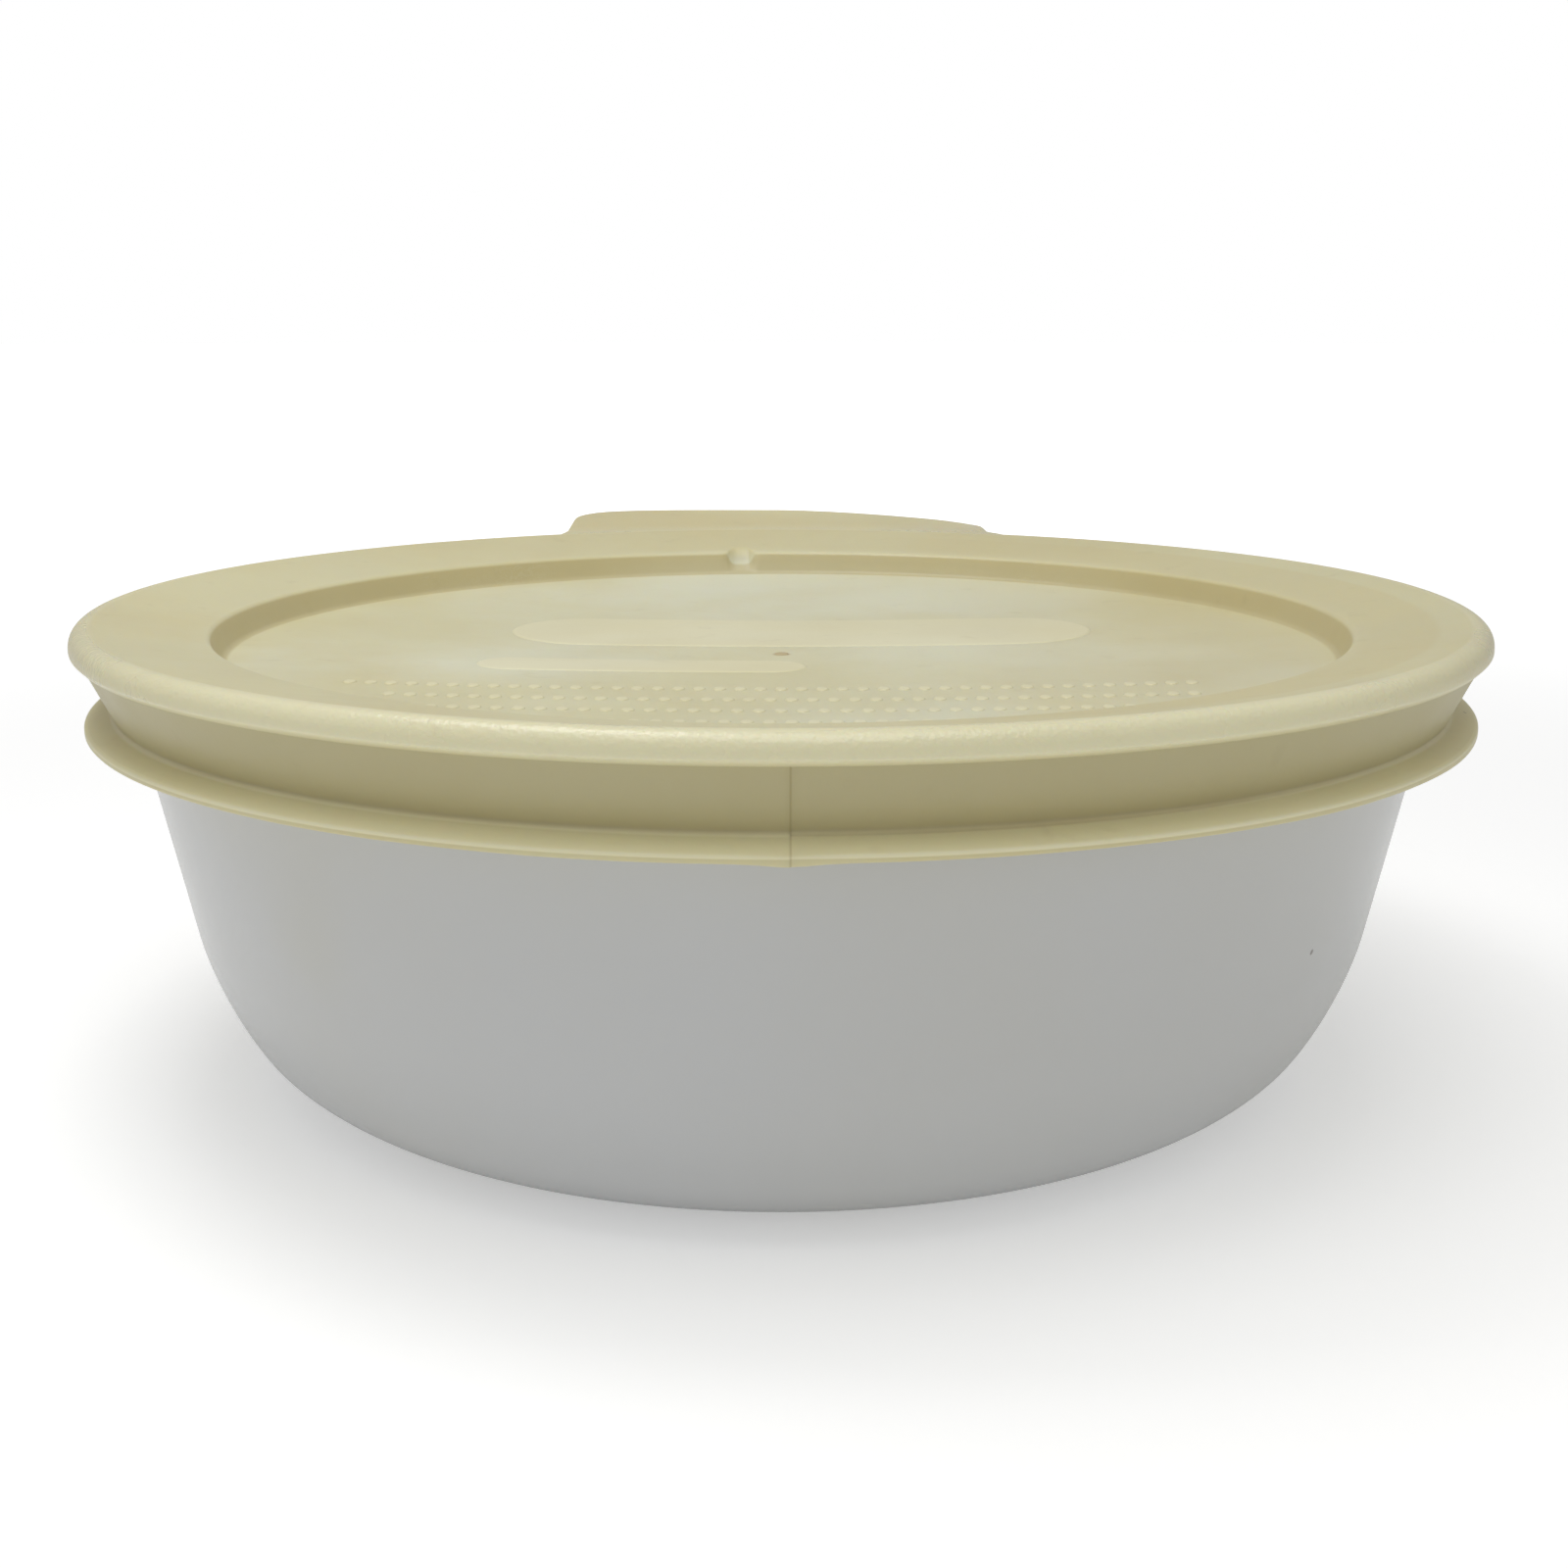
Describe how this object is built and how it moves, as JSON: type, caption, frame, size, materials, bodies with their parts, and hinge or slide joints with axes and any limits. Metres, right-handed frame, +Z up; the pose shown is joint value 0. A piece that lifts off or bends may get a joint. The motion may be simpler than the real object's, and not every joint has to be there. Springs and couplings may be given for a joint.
{
  "type": "rice bowl with lid",
  "caption": "Round white opal-glass bowl with a cream moulded lid that grips the rim and has a lifting tab.",
  "frame": {"origin": "on the bowl's axis, at the plane that the bowl stands on", "axes": "+Z up along the bowl's axis, +Y towards the lid's lifting tab, +X to the right of someone facing the seam side"},
  "size_m": [0.16, 0.1721, 0.0557],
  "materials": {
    "opal_glass": "opaque white opal glass, smooth and glossy",
    "moulded_lid": "cream moulded polyethylene, satin with a fine stipple"
  },
  "bodies": {
    "bowl": {"bowl": "opal_glass"},
    "lid": {"lid": "moulded_lid"}
  },
  "joints": [
    {"name": "lid_lift", "type": "slide", "parent": "bowl", "child": "lid", "axis": [0, 0, 1], "range_m": [0, 0.06]}
  ]
}
